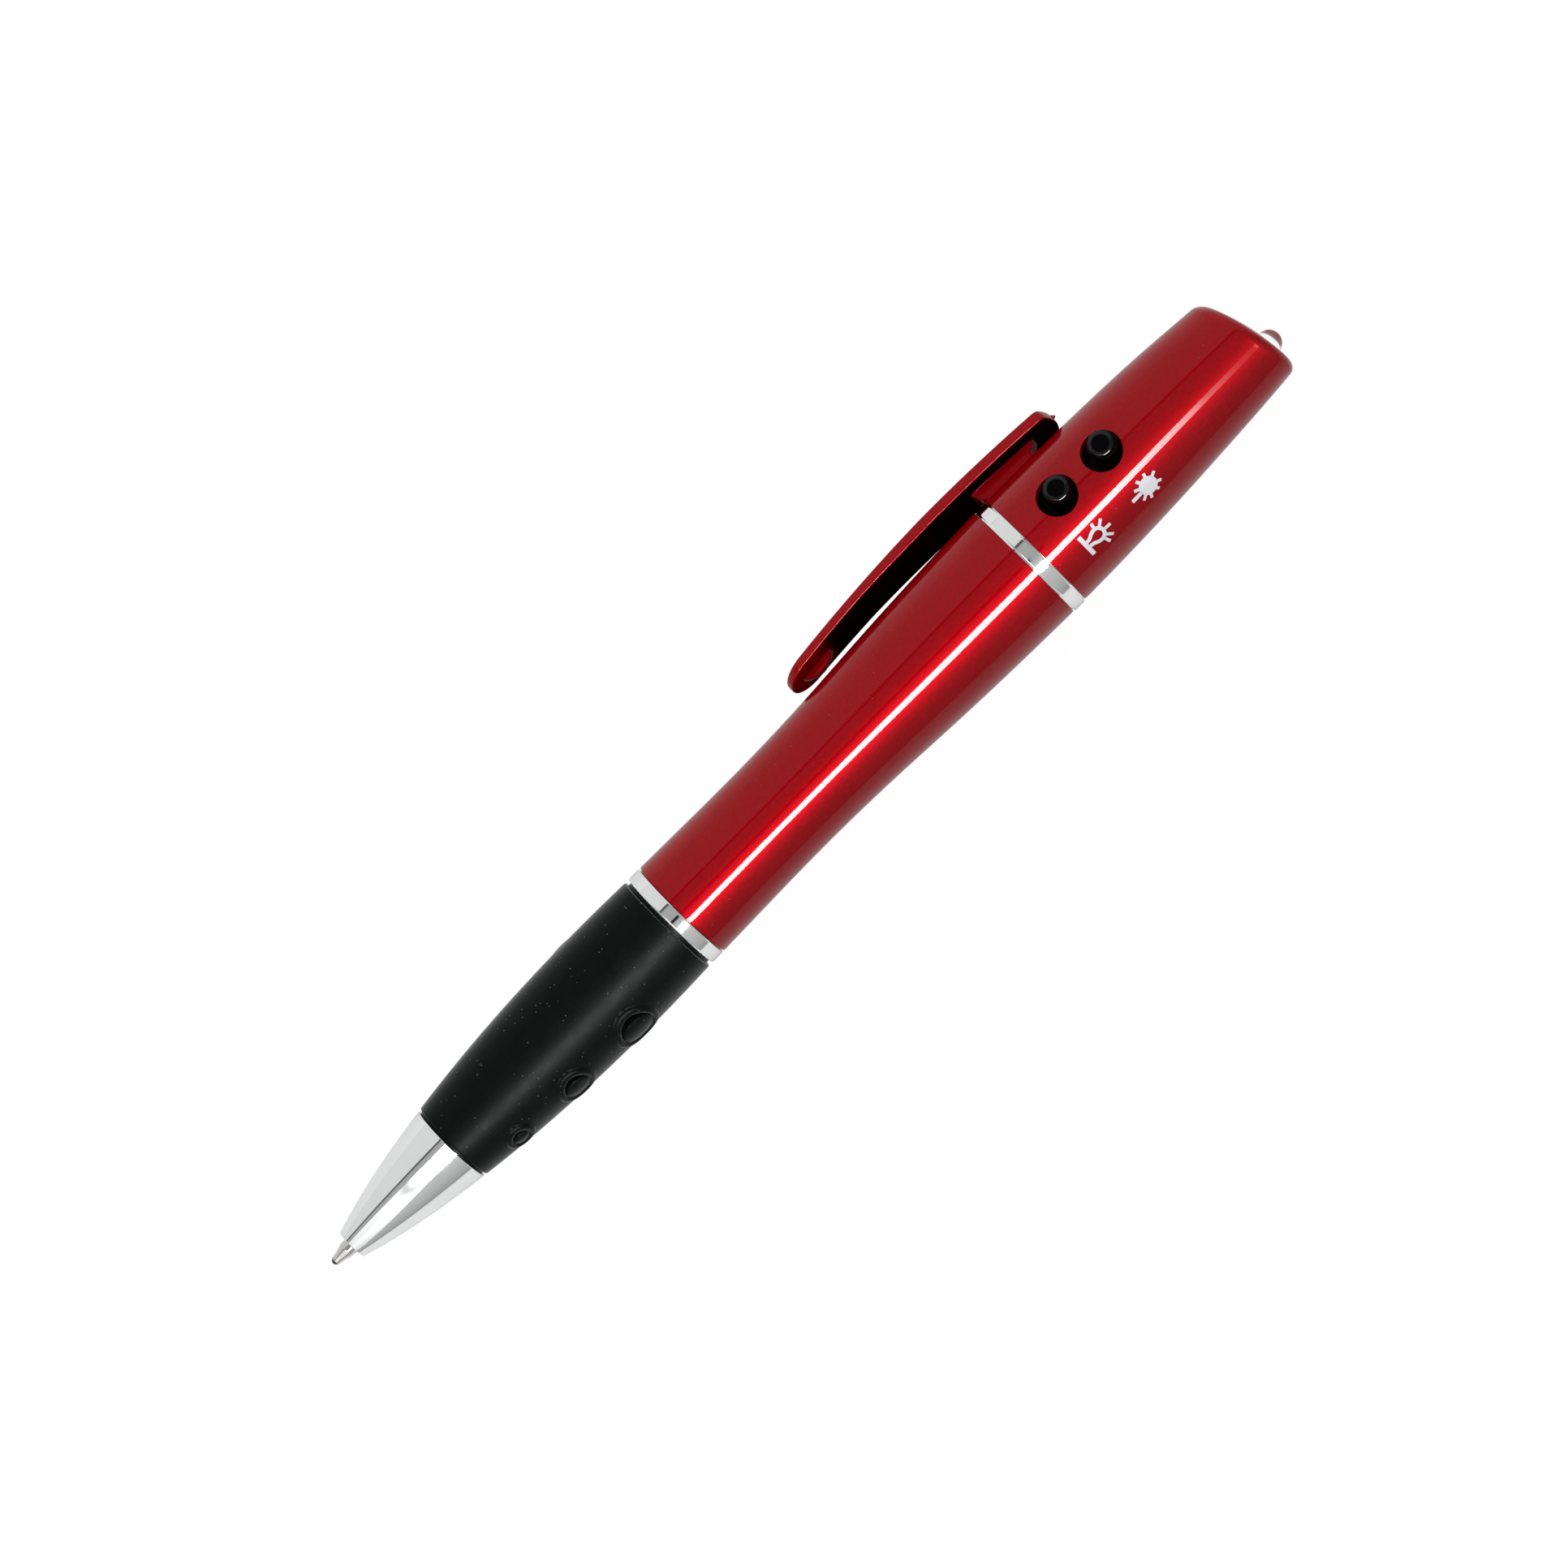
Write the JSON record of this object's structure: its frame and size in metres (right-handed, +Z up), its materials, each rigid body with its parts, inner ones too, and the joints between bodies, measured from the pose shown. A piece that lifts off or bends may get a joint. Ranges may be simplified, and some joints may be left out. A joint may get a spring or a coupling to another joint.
{
  "type": "laser pointer pen",
  "caption": "Twist-action ballpoint pen with a soft grip, a pocket clip and a screw-on head that holds a laser pointer, a small LED light and their push buttons.",
  "frame": {"origin": "middle of the bounding box's base, with the pen lying on its grip and its upper ring", "axes": "+X along the pen towards the lamp end, +Y towards the clip's side, +Z up"},
  "size_m": [0.146, 0.0192, 0.0173],
  "materials": {
    "red_lacquer": "metallic red lacquer, glossy",
    "chrome": "bright chrome plating",
    "nickel": "nickel silver, drawn",
    "steel": "plain steel",
    "brass": "turned brass",
    "black_rubber": "matt black rubber",
    "black_plastic": "black moulded plastic",
    "natural_plastic": "uncoloured moulded plastic",
    "grey_plastic": "grey moulded plastic",
    "green_board": "green glass-fibre board",
    "clear_resin": "clear cast resin"
  },
  "bodies": {
    "barrel": {"barrel_shell": "red_lacquer", "lower_ring": "chrome", "cam_tube": "natural_plastic", "battery_stop": "grey_plastic", "lower_contact": "steel", "button_cell_1": "steel", "button_cell_2": "steel", "button_cell_3": "steel", "return_strip": "brass"},
    "front": {"nose_cone": "chrome", "grip_core": "grey_plastic", "grip_sleeve": "black_rubber", "guide_tube": "brass", "return_spring": "steel"},
    "refill": {"refill_point": "nickel", "refill_ball": "steel", "ink_tube": "natural_plastic", "cam_follower": "natural_plastic"},
    "ring": {"upper_ring": "chrome"},
    "head": {"head_shell": "red_lacquer", "coupling_sleeve": "brass", "contact_disc": "grey_plastic", "upper_contact": "steel", "circuit_board": "green_board", "led_resistor": "black_plastic", "laser_resistor": "black_plastic", "board_carrier": "natural_plastic", "light_switch_housing": "black_plastic", "light_snap_dome": "steel", "light_switch_plate": "steel", "laser_switch_housing": "black_plastic", "laser_snap_dome": "steel", "laser_switch_plate": "steel", "laser_housing": "brass", "laser_lens": "clear_resin", "laser_diode": "steel", "led_lamp": "clear_resin", "led_anode_lead": "steel", "led_cathode_lead": "steel", "lamp_holder": "grey_plastic"},
    "light_button": {"light_button": "black_plastic"},
    "laser_button": {"laser_button": "black_plastic"},
    "clip": {"clip": "red_lacquer"}
  },
  "joints": [
    {"name": "twist", "type": "hinge", "parent": "barrel", "child": "front", "pos_m": [-0.07302, -0.00183, 0.006], "axis": [0.9999, 0, 0.0162], "range_deg": [0, 180]},
    {"name": "refill_slide", "type": "slide", "parent": "front", "child": "refill", "axis": [0.9999, 0, 0.0162], "range_m": [0, 0.005], "deforming": ["return_spring"]},
    {"name": "head_advance", "type": "slide", "parent": "barrel", "child": "ring", "axis": [0.9999, 0, 0.0162], "range_m": [0, 0.004]},
    {"name": "head_unscrew", "type": "hinge", "parent": "ring", "child": "head", "pos_m": [-0.07302, -0.00183, 0.006], "axis": [0.9999, 0, 0.0162], "range_deg": [0, 1440]},
    {"name": "light_press", "type": "slide", "parent": "head", "child": "light_button", "axis": [0.0152, -0.342, -0.9396], "range_m": [0, 0.00025], "stiffness_N_per_m": 4000},
    {"name": "laser_press", "type": "slide", "parent": "head", "child": "laser_button", "axis": [0.0152, -0.342, -0.9396], "range_m": [0, 0.00025], "stiffness_N_per_m": 4000},
    {"name": "clip_flex", "type": "hinge", "parent": "head", "child": "clip", "pos_m": [0.03706, 0.00537, 0.00516], "axis": [0.0152, -0.342, -0.9396], "range_deg": [0, 3], "stiffness_Nm_per_rad": 1.2}
  ],
  "couplings": [
    {"joint": "twist", "follows": "refill_slide", "rad_per_m": 628.3},
    {"joint": "head_unscrew", "follows": "head_advance", "rad_per_m": 6283}
  ]
}
